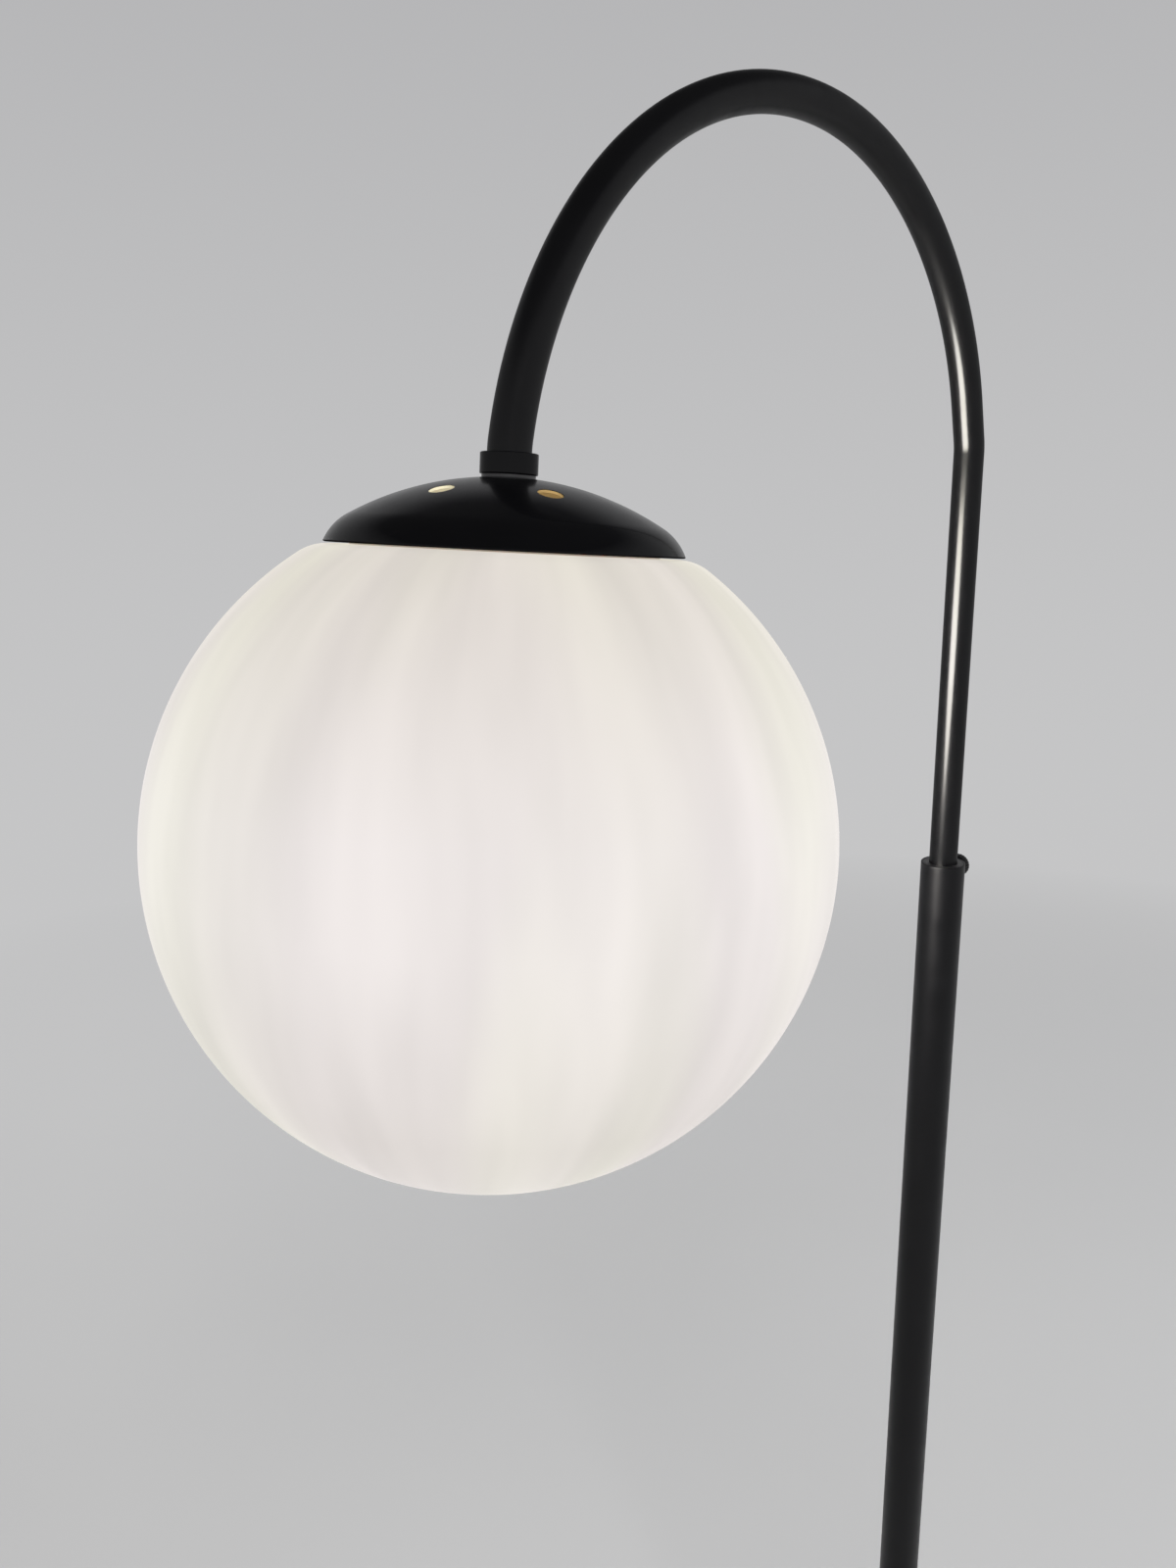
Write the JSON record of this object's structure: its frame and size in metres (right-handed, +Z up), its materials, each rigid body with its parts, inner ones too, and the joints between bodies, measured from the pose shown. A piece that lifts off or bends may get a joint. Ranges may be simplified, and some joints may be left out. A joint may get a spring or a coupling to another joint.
{
  "type": "floor lamp",
  "caption": "Arched floor lamp with an opal globe under a vented dome cap, on an arm that telescopes and turns in a clamped sleeve over a round weighted base.",
  "frame": {"origin": "on the floor, on the pole's axis, at the middle of the base's underside", "axes": "+Z up along the pole; -X towards the lamp head; +X towards the clamp knob and the cord outlet"},
  "size_m": [0.7202, 0.312, 1.5891],
  "materials": {
    "black_satin": "satin black powder coat",
    "black_gloss": "gloss black enamel",
    "opal_glass": "opal white glass, lit from inside",
    "iron": "rough cast, primed",
    "zinc": "zinc plated steel",
    "brass": "bare brass",
    "nickel": "nickel plated",
    "ceramic": "unglazed ceramic",
    "silicone": "translucent silicone rubber",
    "black_foam": "closed-cell foam",
    "black_plastic": "moulded nylon",
    "white_plastic": "moulded nylon",
    "bulb_opal": "opal diffuser, lit"
  },
  "bodies": {
    "base": {"floor_pad": "black_foam", "base_weight": "iron", "base_cover": "black_satin", "cord_outlet": "black_plastic", "foot_plug": "zinc", "foot_nipple": "zinc", "foot_washer": "zinc", "foot_nut": "zinc", "foot_trim": "black_satin", "outer_sleeve": "black_satin", "guide_bush": "black_plastic", "clamp_boss": "zinc"},
    "glide": {"lower_glide": "black_plastic"},
    "arm": {"glide_clip_lower": "zinc", "glide_clip_upper": "zinc", "arm_tube": "black_satin", "collar": "black_gloss", "seat_ring": "white_plastic", "cap": "black_gloss", "cap_nipple": "zinc", "cap_washer": "zinc", "bar_washer": "zinc", "cap_nut": "zinc", "bar_nut": "zinc", "globe": "opal_glass", "globe_gasket": "silicone", "globe_bar": "zinc", "bar_tip_inner": "silicone", "bar_tip_outer": "silicone", "holder_top": "black_plastic", "holder_shell": "black_plastic", "holder_core": "ceramic", "screw_shell": "brass", "centre_contact": "brass", "bulb_cap": "nickel", "bulb_contact": "nickel", "bulb_neck": "white_plastic", "bulb_diffuser": "bulb_opal"},
    "clamp_tip": {"clamp_tip": "white_plastic"},
    "clamp_screw": {"clamp_stud": "zinc", "clamp_knob": "black_gloss"}
  },
  "joints": [
    {"name": "arm_height", "type": "slide", "parent": "base", "child": "glide", "axis": [0, 0, 1], "range_m": [-0.26, 0.2]},
    {"name": "arm_swivel", "type": "hinge", "parent": "glide", "child": "arm", "pos_m": [0, 0, 0.73], "axis": [0, 0, 1], "range_deg": [-170, 170]},
    {"name": "clamp_travel", "type": "slide", "parent": "base", "child": "clamp_tip", "axis": [1, 0, 0], "range_m": [0, 0.002]},
    {"name": "clamp_turn", "type": "hinge", "parent": "clamp_tip", "child": "clamp_screw", "pos_m": [0.02, 0, 1.124], "axis": [1, 0, 0], "range_deg": [0, 720]}
  ],
  "couplings": [
    {"joint": "clamp_turn", "follows": "clamp_travel", "rad_per_m": 6283.2}
  ]
}
